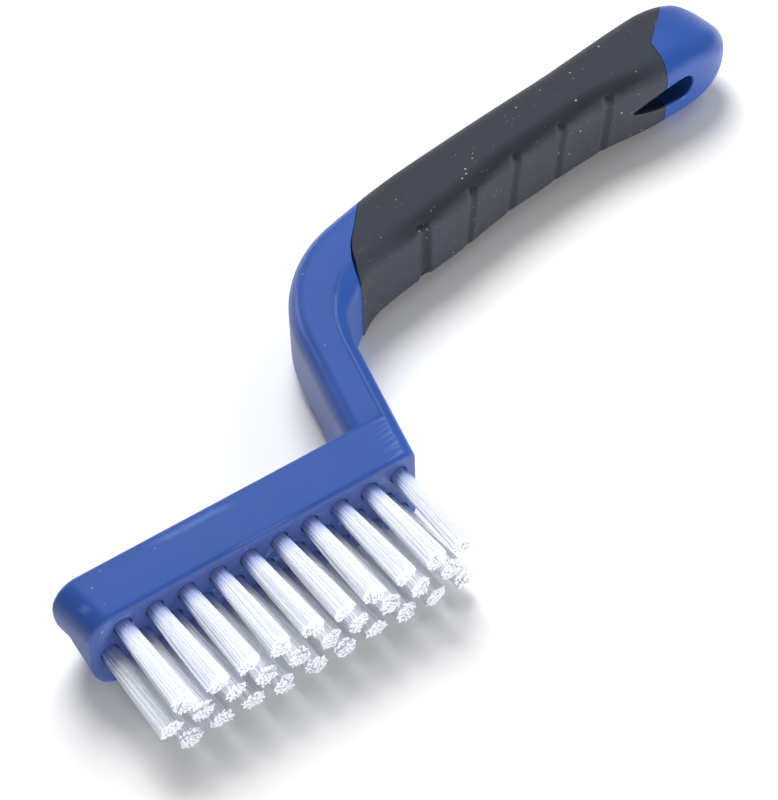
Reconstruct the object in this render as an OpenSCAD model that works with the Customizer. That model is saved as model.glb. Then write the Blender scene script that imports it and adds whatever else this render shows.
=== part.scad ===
// Grout brush: a moulded head with a cranked handle, a soft grip moulded over the
// handle, and tufts of bristle, each folded over a flat metal anchor in its hole.
// Millimetres. The brush lies on its side: X runs along the head from its free end,
// the bristles point along -Y, and Z is up.

/* [Head] */
// Length of the head along its bristle face
head_length = 74.6; // [72:0.1:84]
// Thickness of the head and of the handle, from side face to side face
thickness = 19.4; // [18:0.1:23]
// Depth of the head behind its bristle face
head_depth = 13; // [12:0.1:18]
// Corner radius of the free end, seen along the bristles
end_radius = 5.5; // [4:0.1:8]
// Growth of that radius on the underside with each millimetre behind the face
under_growth = 1; // [0:0.05:1.2]
// Corner radius of the free end at the back, seen from the side
back_corner = 1.6; // [1:0.1:5]
// How far the free end flares outwards towards the back
end_flare = 1.4; // [0:0.1:3]
// Edge radius round the bristle face
face_edge = 1; // [0.5:0.1:1.4]
// Edge radius along the back of the head
back_edge = 1.8; // [0.8:0.1:2]

/* [Bristles] */
// Bristle length beyond the face
bristle_length = 22; // [14:0.5:30]
// Distance between neighbouring rows of tufts
row_spacing = 5.4; // [5.2:0.1:5.8]
// Free end of the head to the first tuft of the outer rows
end_margin = 7.3; // [6.8:0.1:9]
// Last tuft of the outer rows to the side wall of the neck
neck_margin = 4.3; // [4:0.1:7]
// Diameter of a tuft hole
hole_diameter = 3.9; // [3.4:0.1:4]
// Depth of a tuft hole
hole_depth = 9; // [7:0.1:10]
// Clearance round a tuft root in its hole
root_clearance = 0.1; // [0.05:0.05:0.2]
// Diameter across the corners of one strand at its root
strand_width = 0.74; // [0.5:0.02:0.76]
// How much wider a tuft is at its tips than at its root
tuft_spread = 1.5; // [1.2:0.05:1.55]
// Farthest that a tuft leans at its tips
tuft_lean = 0.4; // [0:0.1:0.6]

/* [Anchors] */
// Length that each end of an anchor bites into the wall of its hole
anchor_bite = 0.25; // [0.1:0.05:0.4]
// Height of an anchor along its hole
anchor_height = 1.8; // [1.2:0.1:2.5]
// Thickness of an anchor
anchor_thickness = 0.3; // [0.2:0.05:0.5]
// Bottom of a hole to its anchor, where the bristles fold
fold_height = 0.8; // [0.6:0.1:1.5]

/* [Neck] */
// Lean of the neck towards the grip, from square to the head
neck_lean = 14.2; // [8:0.1:20]
// Width of the neck
neck_width = 10.8; // [10:0.1:13]
// Length of the straight part of the neck from the bristle face
neck_straight = 40; // [34:0.1:46]
// Radius of the bend, along its middle
bend_radius = 27.5; // [26:0.5:36]
// Edge radius of the neck on the finger side
finger_edge = 2.5; // [1.8:0.1:3]
// Edge radius of the neck on the back
neck_edge = 4; // [2.5:0.1:4.5]
// Depth of the flat of the neck below the side face of the head
flat_recess = 0.4; // [0:0.05:0.6]
// Growth of the neck towards the finger side, up to the soft grip
bend_growth = 3.5; // [2:0.1:3.8]
// How far the edge of the flat follows that growth
flat_growth = 1.5; // [0.5:0.1:2]

/* [Handle] */
// Angle of the handle to the head, where the bend ends
grip_heading = 11; // [4:0.5:20]
// Radius of the gentle curve of the handle
grip_curve = 900; // [500:10:2000]
// Length of the handle from the end of the bend to its tip
handle_length = 114.2; // [100:0.1:130]
// Width of the grip
grip_width = 17.5; // [16.5:0.1:20]
// Middle line of the tail to its back
tail_back = 10.8; // [9:0.1:12]
// How far the front of the grip swells towards the fingers
finger_swell = 0.5; // [0:0.1:1]
// How far the middle of the grip draws in on the finger side
finger_waist = 0.8; // [0:0.1:1.2]
// How far the tail swells towards the fingers
tail_swell = 1.5; // [0.5:0.1:2]
// Length over which the tip rounds off on the back
tip_back = 6; // [5:0.1:14]
// Length over which the tip rounds off on the finger side
tip_finger = 18; // [8:0.1:20]
// Length over which the tip rounds off in height
tip_height = 17.8; // [6:0.1:20]
// Edge radius of the handle
handle_edge = 4.5; // [3.5:0.1:5.5]
// Drop of the side faces of the handle towards their edges
crown = 0.5; // [0:0.1:1]

/* [Soft grip] */
// Thickness of the soft grip
soft_wall = 2; // [1.4:0.1:2.6]
// Clearance between the soft grip and the core that it is moulded round
bond_gap = 0.1; // [0.05:0.05:0.2]
// Joint line at the two ends of the soft grip
edge_gap = 0.15; // [0.1:0.05:0.3]
// Front end of the soft grip on the finger side, before the end of the bend
front_on_finger = 13.5; // [8:0.1:18]
// Front end of the soft grip on the back, past the end of the bend
front_on_back = 12.4; // [6:0.1:16]
// Bow of the front edge of the soft grip
front_bow = 0.6; // [0:0.1:2]
// Edge radius of the soft grip at its front end on the finger side
front_edge_radius = 3; // [2.5:0.1:4.5]
// Rear end of the soft grip on the finger side, before the tip
rear_on_finger = 25.1; // [24:0.1:29]
// Rear end of the soft grip on the back, before the tip
rear_on_back = 6.2; // [6:0.1:14]
// Offset of the kink in the rear edge from the middle, towards the fingers
kink_offset = 1.7; // [0:0.1:4]
// Distance from one finger groove to the next
groove_pitch = 14.6; // [13:0.1:15.5]
// First finger groove past the end of the bend
first_groove = 12.8; // [10:0.1:16]
// Radius of a finger groove
groove_radius = 3.3; // [2:0.1:5]
// Depth of a finger groove
groove_depth = 0.6; // [0.3:0.1:0.9]
// Depth of the first finger groove, next to the lip
lip_groove_depth = 1; // [0.6:0.1:1.2]
// Lean of the finger grooves towards the tip of the handle
groove_lean = 8; // [0:0.5:15]

/* [Hanging slot] */
// Length of the slot along the handle
slot_length = 18.2; // [15:0.1:22]
// Width of the slot
slot_width = 5.6; // [5:0.1:7]
// Tip of the handle to the round end of the slot
slot_setback = 16.4; // [14:0.1:19]
// Radius of the pointed end of the slot
slot_tip = 0.5; // [0.3:0.1:1]

/* [Hidden] */
row_count = 3;
tufts_per_row = 10;
groove_count = 5;
strand_rings = [[3, 0.45, 30], [9, 1.05, 0]];
ring_root = 2.8;
tuft_turn = [47, 110];
lean_turn = [90, 54];
strand_growth = 1.3;
finger_steps = 4;
flat_steps = 4;
back_steps = 5;
section_half = finger_steps + flat_steps + back_steps + 3;
section_count = 2 * section_half;
rim_step = 0.2;
side_growth = 0.4;
face_rings = 3;
neck_rings = 17;
tail_sweep = 87;
core_rings = 16;
sleeve_rings = 24;
tail_rings = 12;
head_rings = 6;
tip_back_power = 1.6;
tip_finger_power = 3.2;
tip_height_power = 1.6;
sink = 0.3;
end_flat = 0.4;
kink_rise = 2.7;
rear_bow = 0.25;
fill = 0.96;
least_edge = 0.4;
root_sink = 0.5;

half = thickness / 2;
neck_heading = 90 - neck_lean;
axis_start = head_length - neck_width / 2 / sin(neck_heading);
bend_end = neck_straight + bend_radius * (neck_heading - grip_heading) * PI / 180;
tip = bend_end + handle_length;
grip_half = grip_width / 2;
tail_finger = grip_half + tail_swell;
reach = 2 * (grip_half + tail_back);
tuft_pitch = (head_length - end_margin - neck_margin) / (tufts_per_row - 1);
root_diameter = hole_diameter - 2 * root_clearance;
ring_scale = root_diameter / ring_root;
anchor_depth = hole_depth - fold_height - anchor_height;
slit_thickness = anchor_thickness + root_clearance;

function row_name(r) = str("row", r + 1);
function tuft_name(r, i) = str("tuft_", row_name(r), "_", i < 9 ? "0" : "", i + 1);
function anchors_name(r) = str("anchors_", row_name(r));

// Easing from p at a to q at b
function ease(t) = let (c = min(1, max(0, t))) c * c * (3 - 2 * c);
function blend(s, a, b, p, q) = p + (q - p) * ease((s - a) / (b - a));

// Middle line of neck and handle: a straight, a bend, and a gentle curve
function heading(s) =
    s < neck_straight ? neck_heading
    : s < bend_end ? neck_heading - (s - neck_straight) / bend_radius * 180 / PI
    : grip_heading - (s - bend_end) / grip_curve * 180 / PI;
function along(p, length, angle) = p + length * [cos(angle), sin(angle)];
function arc_point(p, radius, from, to) =
    p + radius * [sin(from) - sin(to), cos(to) - cos(from)];
bend_from = along([axis_start, 0], neck_straight, neck_heading);
bend_to = arc_point(bend_from, bend_radius, neck_heading, grip_heading);
function middle(s) =
    s < neck_straight ? along([axis_start, 0], s, neck_heading)
    : s < bend_end ? arc_point(bend_from, bend_radius, neck_heading, heading(s))
    : arc_point(bend_to, grip_curve, grip_heading, heading(s));

// A point at s along the middle line, u towards the back and z up
function place(s, u, z) =
    let (a = heading(s), p = middle(s))
    [p[0] - sin(a) * u, p[1] + cos(a) * u, z];

// Stretches of the middle line over which the shape changes, each as [from, to]
growth_run = [neck_straight - 6, neck_straight + 17];
flat_run = [neck_straight - 6, neck_straight + 10];
back_run = [neck_straight, bend_end + 23];
recess_run = [neck_straight + 14, neck_straight + 26];
edge_run = [neck_straight + 8, neck_straight + 34];
front_run = [bend_end - front_on_finger, bend_end + 6];
waist_run = [bend_end + 21, bend_end + 45];
tail_finger_run = [bend_end + 66, bend_end + 90];
tail_back_run = [bend_end + 60, bend_end + 104];
function over(s, run, p, q) = blend(s, run[0], run[1], p, q);

// Half widths towards the back and towards the fingers, and half height
function tip_round(s, length, power) =
    s <= tip - length ? 1
    : pow(max(0, 1 - pow((s - tip + length) / length, power)), 0.5);
function back_half(s) =
    (over(s, back_run, neck_width / 2, grip_half) + over(s, tail_back_run, 0, tail_back - grip_half))
    * tip_round(s, tip_back, tip_back_power);
function growth(s) = over(s, growth_run, 0, bend_growth);
function corner_growth(s) = max(0, growth(s) - over(s, flat_run, 0, flat_growth));
function finger_half(s) = neck_width / 2 + growth(s);
function sleeve_half(s) =
    (grip_half + finger_swell - over(s, waist_run, 0, finger_swell + finger_waist)
    + over(s, tail_finger_run, 0, finger_waist + tail_swell))
    * tip_round(s, tip_finger, tip_finger_power);
function half_height(s) = half * tip_round(s, tip_height, tip_height_power);
function recess(s) = over(s, recess_run, flat_recess, 0);

// Section of the handle at index k: [u, z], from the fingers over the top to the back.
// inset shrinks it, and soft is 1 for the soft grip and its core.
function corner(wide, edge, inset) = max(least_edge, min(edge - inset, wide * fill));
function section(s, k, inset, soft) =
    let (
        j = k <= section_half ? k : section_count - k,
        side = k <= section_half ? 1 : -1,
        finger = (soft == 1 ? sleeve_half(s) : finger_half(s)) - inset,
        back = back_half(s) - inset,
        high = half_height(s) - inset,
        low = soft == 1 ? high : high - recess(s),
        to_grip = over(s, edge_run, 0, 1),
        front = soft == 1 ? over(s, front_run, front_edge_radius, handle_edge) : finger_edge,
        extra = soft == 1 ? 0 : corner_growth(s),
        rf = min(corner(finger, front, inset), high * fill),
        rw = rf + extra,
        rh = rf + side_growth * extra,
        rb = min(corner(back, neck_edge + (handle_edge - neck_edge) * to_grip, inset), low * fill),
        rim = -finger + rw + rim_step * tip_round(s, tip_finger, tip_finger_power),
        front_turn = (j - 1) * 90 / finger_steps,
        back_turn = (section_half - 1 - j) * 90 / back_steps,
        flat = (j - finger_steps - 2) / flat_steps,
        u = j == 0 ? -finger
            : j <= finger_steps + 1 ? -finger + rw * (1 - cos(front_turn))
            : flat < 1 ? rim + (back - rb - rim) * flat
            : j < section_half ? back - rb * (1 - cos(back_turn))
            : back,
        z = j == 0 ? 0
            : j <= finger_steps + 1 ? high - rh * (1 - sin(front_turn))
            : flat < 1 ? low
            : j < section_half ? low - rb * (1 - sin(back_turn))
            : 0,
        drop = crown / half * to_grip * pow(u / max(finger, back), 2)
    )
    [u, side * z * (1 - drop)];
function skin_point(s, k, inset, soft) =
    let (q = section(s, k, inset, soft)) place(s, q[0], q[1]);

// Edges of the soft grip, as distances along the middle line at offset u
function front_edge(u) =
    let (t = (u + grip_half) / grip_width)
    bend_end - front_on_finger + (front_on_finger + front_on_back) * t + front_bow * sin(180 * t);
function rear_edge(u) =
    let (kink = tip - rear_on_finger + kink_rise)
    u < -kink_offset
    ? kink - kink_rise * (1 - (u + tail_finger) / (tail_finger - kink_offset))
    : let (t = (u + kink_offset) / (tail_back + kink_offset))
    kink + (tip - rear_on_back - kink) * t * (1 + rear_bow - rear_bow * t);
function front_at(k, inset, soft) = front_edge(section(bend_end, k, inset, soft)[0]);
function rear_at(k, inset, soft) = rear_edge(section(tip - rear_on_finger, k, inset, soft)[0]);

// A ring that is square to Y at the bristle face and square to the middle line later on
function neck_at(k, t, inset) =
    let (u = section(t, k, inset, 0)[0])
    t / sin(neck_heading) - u * cos(neck_heading) / sin(neck_heading);

// Triangles between rings of n points, with a fan to one more point at each end
function wall_faces(rings, n) = [
    for (i = [0:rings - 2]) for (k = [0:n - 1])
        let (a = i * n + k, b = i * n + (k + 1) % n)
        each [[a, b, a + n], [b, b + n, a + n]]
];
function fan_faces(rings, n) = [
    for (k = [0:n - 1])
        let (m = (k + 1) % n, last = (rings - 1) * n)
        each [[k, rings * n, m], [last + k, last + m, rings * n + 1]]
];
function average(points) = [for (c = [0:2]) sum_of(points, c) / len(points)];
function sum_of(points, c) = [for (p = points) p[c]] * [for (p = points) 1];
module skin(rings) {
    n = len(rings[0]);
    count = len(rings);
    ends = [average(rings[0]), average(rings[count - 1])];
    polyhedron(
        points = concat([for (ring = rings) each ring], ends),
        faces = concat(wall_faces(count, n), fan_faces(count, n))
    );
}

// Rings of the neck from the bristle face to the front edge of the soft grip
function face_turn(i) = 90 * i / (face_rings - 1);
function neck_inset(i) = i < face_rings ? face_edge * (1 - sin(face_turn(i))) : 0;
function neck_level(i) = i < face_rings ? face_edge * (1 - cos(face_turn(i))) : face_edge;
function neck_ring(i) = [
    for (k = [0:section_count - 1])
        let (
            inset = neck_inset(i),
            from = neck_at(k, neck_level(i), inset),
            to = front_at(k, 0, 0),
            s = i < face_rings ? from
                : from + (to - from) * (i - face_rings + 1) / (neck_rings - face_rings)
        )
        skin_point(s, k, inset, 0)
];
// Rings of the core that the soft grip is moulded round
function core_ring(i, inset, gap) = [
    for (k = [0:section_count - 1])
        let (
            from = front_at(k, inset, 1) + gap,
            to = rear_at(k, inset, 1) - gap,
            s = from + (to - from) * i / (core_rings - 1)
        )
        skin_point(s, k, inset, 1)
];
function sleeve_ring(i) = [
    for (k = [0:section_count - 1])
        let (
            from = front_at(k, 0, 1) + edge_gap,
            to = rear_at(k, 0, 1) - edge_gap,
            s = from + (to - from) * i / (sleeve_rings - 1)
        )
        skin_point(s, k, 0, 1)
];
function tail_ring(i) = [
    for (k = [0:section_count - 1])
        let (from = rear_at(k, 0, 1), s = from + (tip - from) * sin(tail_sweep * i / (tail_rings - 1)))
        skin_point(s, k, 0, 1)
];
handle_rings = concat(
    [for (i = [0:neck_rings - 1]) neck_ring(i)],
    [for (i = [0:core_rings - 1]) core_ring(i, soft_wall, 0)],
    [for (i = [0:tail_rings - 1]) tail_ring(i)]
);
soft_rings = concat(
    [for (i = [0:sleeve_rings - 1]) sleeve_ring(i)],
    [for (i = [core_rings - 1:-1:0]) core_ring(i, soft_wall - bond_gap, edge_gap)]
);

// Outline of the head at distance y behind the bristle face
function free_end(y) =
    let (rise = y - head_depth + back_corner)
    -end_flare * min(1, y / (head_depth - back_corner))
    + (rise > 0 ? back_corner - sqrt(max(0, pow(back_corner, 2) - rise * rise)) : 0);
function head_inset(y) =
    y < face_edge ? face_edge - sqrt(pow(face_edge, 2) - pow(face_edge - y, 2))
    : y > head_depth - back_edge
    ? back_edge - sqrt(max(0, pow(back_edge, 2) - pow(y - head_depth + back_edge, 2)))
    : 0;
function head_ring(y) =
    let (
        inset = head_inset(y),
        left = free_end(y) + inset,
        right = head_length + y * tan(neck_lean) - finger_edge / sin(neck_heading) + sink
            - (y < face_edge ? inset : 0),
        high = half - inset,
        r = end_radius - inset,
        under = min(r + under_growth * y, 2 * high - r - end_flat)
    )
    concat(
        [[right, y, -high], [right, y, high]],
        [for (a = [90:15:180]) [left + r + r * cos(a), y, high - r + r * sin(a)]],
        [for (a = [180:9:270]) [left + under + under * cos(a), y, -high + under + under * sin(a)]]
    );
back_depth = max(back_corner, back_edge);
plain_depth = head_depth - back_depth - face_edge;
head_levels = concat(
    [for (a = [0:30:90]) face_edge * (1 - cos(a))],
    [for (i = [1:head_rings - 1]) face_edge + plain_depth * i / head_rings],
    [for (a = [0:15:90]) head_depth - back_depth * (1 - sin(a))]
);

// The finished model stands on the middle of the base of its box
all_points = concat([for (ring = handle_rings) each ring], [for (ring = soft_rings) each ring]);
x_high = max([for (p = all_points) p[0]]);
y_high = max([for (p = all_points) p[1]]);
shift = [(end_flare - x_high) / 2, (bristle_length - y_high) / 2, half];

function tuft_x(r, i) = end_margin + tuft_pitch * (i - (r % 2) / 2);
function tuft_z(r) = row_spacing * ((row_count - 1) / 2 - r);

module at_tuft(r, i) translate([tuft_x(r, i), 0, tuft_z(r)]) rotate([-90, 0, 0]) children();

// Outline of the hanging slot, round towards the tip of the handle and pointed inwards
module slot_outline() {
    radius = slot_width / 2;
    far = slot_length - radius - slot_tip;
    arc = (far * far + pow(radius - slot_tip, 2)) / (2 * (radius - slot_tip));
    circle(r = radius, $fn = 48);
    translate([-far, 0]) circle(r = slot_tip, $fn = 24);
    intersection() {
        translate([0, radius - arc]) circle(r = arc, $fn = 360);
        translate([0, arc - radius]) circle(r = arc, $fn = 360);
        translate([-far, -radius]) square([far, slot_width]);
    }
}
module slot_cutter() {
    s = tip - slot_setback - slot_width / 2;
    translate([each middle(s), 0])
        rotate([90, 0, heading(s)])
        linear_extrude(reach, center = true) slot_outline();
}
module groove_cutter(i) {
    s = bend_end + first_groove + i * groove_pitch;
    depth = i == 0 ? lip_groove_depth : groove_depth;
    translate(place(s, -sleeve_half(s) - groove_radius + depth, 0))
        rotate([0, 0, heading(s)])
        rotate([0, i == 0 ? 0 : groove_lean, 0])
        cylinder(r = groove_radius, h = reach, center = true, $fn = 48);
}

module head() {
    skin([for (y = head_levels) head_ring(y)]);
}
module handle() {
    skin(handle_rings);
}
module handle_body() {
    color("royalblue")
    difference() {
        union() {
            head();
            handle();
        }
        for (r = [0:row_count - 1]) for (i = [0:tufts_per_row - 1])
            at_tuft(r, i) translate([0, 0, -1])
                cylinder(d = hole_diameter, h = hole_depth + 1, $fn = 32);
        slot_cutter();
    }
}

module sleeve_shell() {
    n = section_count;
    count = len(soft_rings);
    last = (count - 1) * n;
    closing = [
        for (k = [0:n - 1])
            let (m = (k + 1) % n)
            each [[last + k, last + m, k], [last + m, m, k]]
    ];
    polyhedron(
        points = [for (ring = soft_rings) each ring],
        faces = concat(wall_faces(count, n), closing)
    );
}
module grip_sleeve() {
    color("dimgray")
    difference() {
        sleeve_shell();
        for (i = [0:groove_count - 1]) groove_cutter(i);
        slot_cutter();
    }
}

module anchors(r) {
    color("silver")
    for (i = [0:tufts_per_row - 1])
        at_tuft(r, i)
            translate([-hole_diameter / 2 - anchor_bite, -anchor_thickness / 2, anchor_depth])
            cube([hole_diameter + 2 * anchor_bite, anchor_thickness, anchor_height]);
}

// Four-sided strand from [x, y] at the root to [x, y] at the tip, along Z
function strand_end(p, turn, wide, z) = [
    for (k = [0:3]) [p[0] + wide / 2 * cos(turn + 90 * k), p[1] + wide / 2 * sin(turn + 90 * k), z]
];
strand_faces = concat(
    [[0, 1, 2], [0, 2, 3], [4, 6, 5], [4, 7, 6]],
    [for (k = [0:3]) let (m = (k + 1) % 4) each [[k, k + 4, m + 4], [k, m + 4, m]]]
);
module strand(root, tip_point, turn, wide, from, to) {
    polyhedron(
        points = concat(
            strand_end(tip_point, turn, wide * strand_growth, to),
            strand_end(root, turn, wide, from)
        ),
        faces = strand_faces
    );
}
module tuft(r, i) {
    turn = tuft_turn[0] * i + tuft_turn[1] * r;
    lean = tuft_lean * [sin(lean_turn[0] * i + turn), cos(lean_turn[1] * i + turn)];
    color("ghostwhite")
    at_tuft(r, i) {
        difference() {
            translate([0, 0, root_sink])
                cylinder(d = root_diameter, h = hole_depth - root_sink, $fn = 12);
            translate([-hole_diameter, -slit_thickness / 2, anchor_depth - root_clearance / 2])
                cube([2 * hole_diameter, slit_thickness, anchor_height + root_clearance]);
        }
        for (ring = strand_rings) for (k = [0:ring[0] - 1]) {
            angle = turn + ring[2] + 360 / ring[0] * k;
            root = ring_scale * ring[1] * [cos(angle), sin(angle)];
            tip_point = root * tuft_spread + lean;
            strand(root, tip_point, angle, strand_width, root_sink + sink, -bristle_length);
        }
    }
}

translate(shift) {
    handle_body();
    grip_sleeve();
    for (r = [0:row_count - 1]) anchors(r);
    for (r = [0:row_count - 1]) for (i = [0:tufts_per_row - 1])
        tuft(r, i);
}
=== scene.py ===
import math

import bmesh
import bpy
import numpy as np
from mathutils import Matrix, Vector


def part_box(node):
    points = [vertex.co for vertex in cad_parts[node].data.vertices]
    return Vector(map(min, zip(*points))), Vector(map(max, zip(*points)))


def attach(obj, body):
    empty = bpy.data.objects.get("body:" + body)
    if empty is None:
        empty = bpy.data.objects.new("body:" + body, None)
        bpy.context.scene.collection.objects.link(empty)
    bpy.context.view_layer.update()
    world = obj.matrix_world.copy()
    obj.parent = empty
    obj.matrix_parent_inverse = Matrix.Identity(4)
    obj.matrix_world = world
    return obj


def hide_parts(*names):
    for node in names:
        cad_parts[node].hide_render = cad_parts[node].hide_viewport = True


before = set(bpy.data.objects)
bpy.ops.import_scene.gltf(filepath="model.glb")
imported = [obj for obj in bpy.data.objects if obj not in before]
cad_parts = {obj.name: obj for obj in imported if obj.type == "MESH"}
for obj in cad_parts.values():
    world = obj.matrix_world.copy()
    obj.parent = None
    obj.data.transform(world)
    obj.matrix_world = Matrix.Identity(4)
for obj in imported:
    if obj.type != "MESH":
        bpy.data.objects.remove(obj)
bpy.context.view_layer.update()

mm = 0.001
scene = bpy.context.scene

# Sizes in millimetres, the same as the construction's
head = {
    "length": 74.6,
    "thickness": 19.4,
    "depth": 13.0,
    "endRadius": 5.5,
    "underGrowth": 1.0,  # growth of that radius on the underside with each millimetre behind the face
    "backCorner": 1.6,
    "endFlare": 1.4,
    "faceEdge": 1.0,
    "backEdge": 1.8,
    "overlap": 0.3,  # how far the head reaches into the neck
    "leastSide": 0.4,
    "levels": [2.2, 3.5, 5, 6.5, 8, 9.2, 10.2],
    "faceStep": 15,  # degrees from ring to ring round the two edges
    "backStep": 9,
    "cornerSteps": 16,
    "underSteps": 24,
    "flatSteps": 14,
    "sideSteps": 4,
}
neck = {
    "lean": 14.2,
    "width": 10.8,
    "straight": 40.0,
    "bendRadius": 27.5,
    "fingerEdge": 2.5,
    "backEdge": 4.0,
    "recess": 0.4,
    "growth": 3.5,
    "flatGrowth": 1.5,
    "faceRings": 5,
    "rings": 110,
    # rings along the neck that carry the painted highlight on the recess rim
    "highlightRings": 90,
}
handle = {
    "heading": 11.0,
    "curve": 900.0,
    "length": 114.2,
    "gripWidth": 17.5,
    "swell": 0.5,
    "waist": 0.8,
    "tailSwell": 1.5,
    "tailBack": 10.8,
    "tipBack": 6.0,
    "tipBackPower": 1.6,
    "tipFinger": 18.0,
    "tipFingerPower": 3.2,
    "tipHeight": 17.8,
    "tipHeightPower": 1.6,
    "edge": 4.5,
    "crown": 0.5,
    "coreRings": 40,
    "tailRings": 44,
    "tailSweep": 89,
    "sharpAngle": 32,
}
grip = {
    "wall": 2.0,
    "bondGap": 0.1,
    "edgeGap": 0.05,
    "fingerGap": 0.34,
    "gapTurn": (0.5, 1.1),  # where the wide gap at the fingers narrows, going round the section
    "frontOnFinger": 13.5,
    "frontOnBack": 12.4,
    "frontBow": 0.6,
    "frontRadius": 3.0,
    "frontRound": [(0.0, 0.32), (0.08, 0.12), (0.24, 0.02)],  # distance from the edge, and inset there
    "frontStep": 0.45,
    # painted shade on the grip's rounded front end, along its gap to the moulding
    "frontShade": 0.4,
    "rearOnFinger": 25.1,
    "rearOnBack": 6.2,
    "rearRise": 2.7,
    "rearBow": 0.25,
    "rearRound": [(0.12, 0.02), (0.04, 0.1), (0.0, 0.25)],
    "rearStep": 0.3,
    # painted shade on the grip's rounded rear end, along its gap to the moulding
    "rearShade": 0.3,
    "kink": 1.7,
    "rings": 340,
    "innerRings": 60,
    "sharpAngle": 40,
}
groove = {
    "count": 5,
    "first": 12.8,
    "pitch": 14.6,
    "width": 3.9,
    "depth": 0.55,
    "firstWidth": 4.6,
    "firstDepth": 1.05,
    "lean": 8.0,
    "deepest": 0.15,  # across a groove, from -1 at its front to 1 at its back
    # painted shade on each groove's steep back side, and painted light on its gentle front side
    "paintedShadeStripe": (-0.1, 0.25, 0.75, 1.0),
    "paintedShadeShare": 0.8,
    "paintedLightStripe": (-1.0, -0.65, -0.3, -0.05),
    "paintedLightShare": 0.35,
    "top": 45,  # degrees round the section, as the next two
    "topDip": 12,
    "topFade": 9,
    "lowFade": 0.88,
    "lowTurn": 0.6,
}
band = {
    "depth": 0.42,
    "top": 27,  # degrees round the section, as the next four
    "topRise": 17,
    "topFade": 8,
    "low": 54,
    "lowFade": 40,
    # painted shade in the sunken band
    "shade": 0.75,
}
bristle = {
    "length": 22.0,
    "rowSpacing": 5.4,
    "endMargin": 7.3,
    "neckMargin": 4.3,
    "holeDiameter": 3.9,
    "holeDepth": 9.0,
    "holeSides": 28,
    "mouth": [(-0.6, 0.28), (0.0, 0.2), (0.08, 0.07), (0.22, 0.0)],  # depth, and how much wider there
    "rows": 3,
    "perRow": 10,
    "strands": 72,
    "strandSides": 6,
    "strandDiameter": 0.36,
    "strandGrowth": 1.66,
    "thinnest": 0.92,
    "thickest": 1.05,
    "rootGap": 0.1,
    "rootDrop": 0.08,
    "spread": 1.38,
    "spreadPower": 0.9,
    "lean": 0.35,
    "leanPower": 1.3,
    "swirl": 0.12,
    "wander": 0.12,
    "bow": 0.1,
    "unevenCut": 0.13,
    "ledge": 0.5,
    "ledgeFrom": 0.55,
    "levels": [7.2, 3.0, 0.0, -3.0, -7.5, -12.5, -17.5],
    "sharpAngle": 50,
}
slot = {
    "length": 18.2,
    "width": 5.6,
    "setback": 16.4,
    "tip": 0.5,
    "softEdge": 0.22,
    "mouth": [(0.12, 0.55), (0.3, 0.22), (0.6, 0.0)],  # depth, and share of the soft edge left there
    "reach": 6.0,
    "shadeRun": 0.3,
    "margin": 0.1,
    "roundSteps": 17,
    "sideSteps": 13,
    "tipSteps": 7,
}

# Where the construction puts the head's free end and bristle face in the row frame
offset = np.array([
    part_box("handle_body")[0][0] / mm + head["endFlare"],
    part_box("tuft_row1_01")[0][1] / mm + bristle["length"],
    head["thickness"] / 2,
])


def toRow(points):
    return (np.asarray(points, float) + offset) * mm


def ease(t):
    c = np.clip(t, 0.0, 1.0)
    return c * c * (3 - 2 * c)


def over(s, run, p, q):
    return p + (q - p) * ease((s - run[0]) / (run[1] - run[0]))


# Rises from nought to one between the first two marks, and falls again between the last two
def hump(x, marks):
    return over(x, marks[:2], 0, 1) * over(x, marks[2:], 1, 0)


# The middle line of neck and handle: a straight, a bend and a gentle curve
neckHeading = math.radians(90 - neck["lean"])
gripHeading = math.radians(handle["heading"])
axisStart = head["length"] - neck["width"] / 2 / math.sin(neckHeading)
bendEnd = neck["straight"] + neck["bendRadius"] * (neckHeading - gripHeading)
tip = bendEnd + handle["length"]
half = head["thickness"] / 2
gripHalf = handle["gripWidth"] / 2
tailFinger = gripHalf + handle["tailSwell"]

# Stretches of the middle line over which the shape changes
growthRun = (neck["straight"] - 6, neck["straight"] + 17)
flatRun = (neck["straight"] - 6, neck["straight"] + 10)
backRun = (neck["straight"], bendEnd + 23)
recessRun = (neck["straight"] + 14, neck["straight"] + 26)
edgeRun = (neck["straight"] + 8, neck["straight"] + 34)
frontRun = (bendEnd - grip["frontOnFinger"], bendEnd + 6)
waistRun = (bendEnd + 21, bendEnd + 45)
tailFingerRun = (bendEnd + 66, bendEnd + 90)
tailBackRun = (bendEnd + 60, bendEnd + 104)
bandRun = (bendEnd + 1, bendEnd + 13, tip - 34, tip - 24)


def headingAt(s):
    s = np.asarray(s, float)
    bent = neckHeading - (s - neck["straight"]) / neck["bendRadius"]
    curved = gripHeading - (s - bendEnd) / handle["curve"]
    return np.where(s < neck["straight"], neckHeading, np.where(s < bendEnd, bent, curved))


def arcFrom(x, y, radius, start, end):
    return x + radius * (np.sin(start) - np.sin(end)), y + radius * (np.cos(end) - np.cos(start))


def middleAt(s):
    s = np.asarray(s, float)
    a = headingAt(s)
    straightX = axisStart + s * math.cos(neckHeading)
    straightY = s * math.sin(neckHeading)
    fromX = axisStart + neck["straight"] * math.cos(neckHeading)
    fromY = neck["straight"] * math.sin(neckHeading)
    bendX, bendY = arcFrom(fromX, fromY, neck["bendRadius"], neckHeading, a)
    toX, toY = arcFrom(fromX, fromY, neck["bendRadius"], neckHeading, gripHeading)
    gripX, gripY = arcFrom(toX, toY, handle["curve"], gripHeading, a)
    x = np.where(s < neck["straight"], straightX, np.where(s < bendEnd, bendX, gripX))
    y = np.where(s < neck["straight"], straightY, np.where(s < bendEnd, bendY, gripY))
    return x, y


# A point at s along the middle line, u towards the back and z up
def place(s, u, z):
    a = headingAt(s)
    x, y = middleAt(s)
    return np.stack([x - np.sin(a) * u, y + np.cos(a) * u, z + 0 * x], -1)


# Half widths and heights along the middle line
def tipRound(s, length, power):
    t = np.clip((s - tip + length) / length, 0, 1)
    return np.sqrt(np.maximum(0, 1 - t**power))


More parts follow.
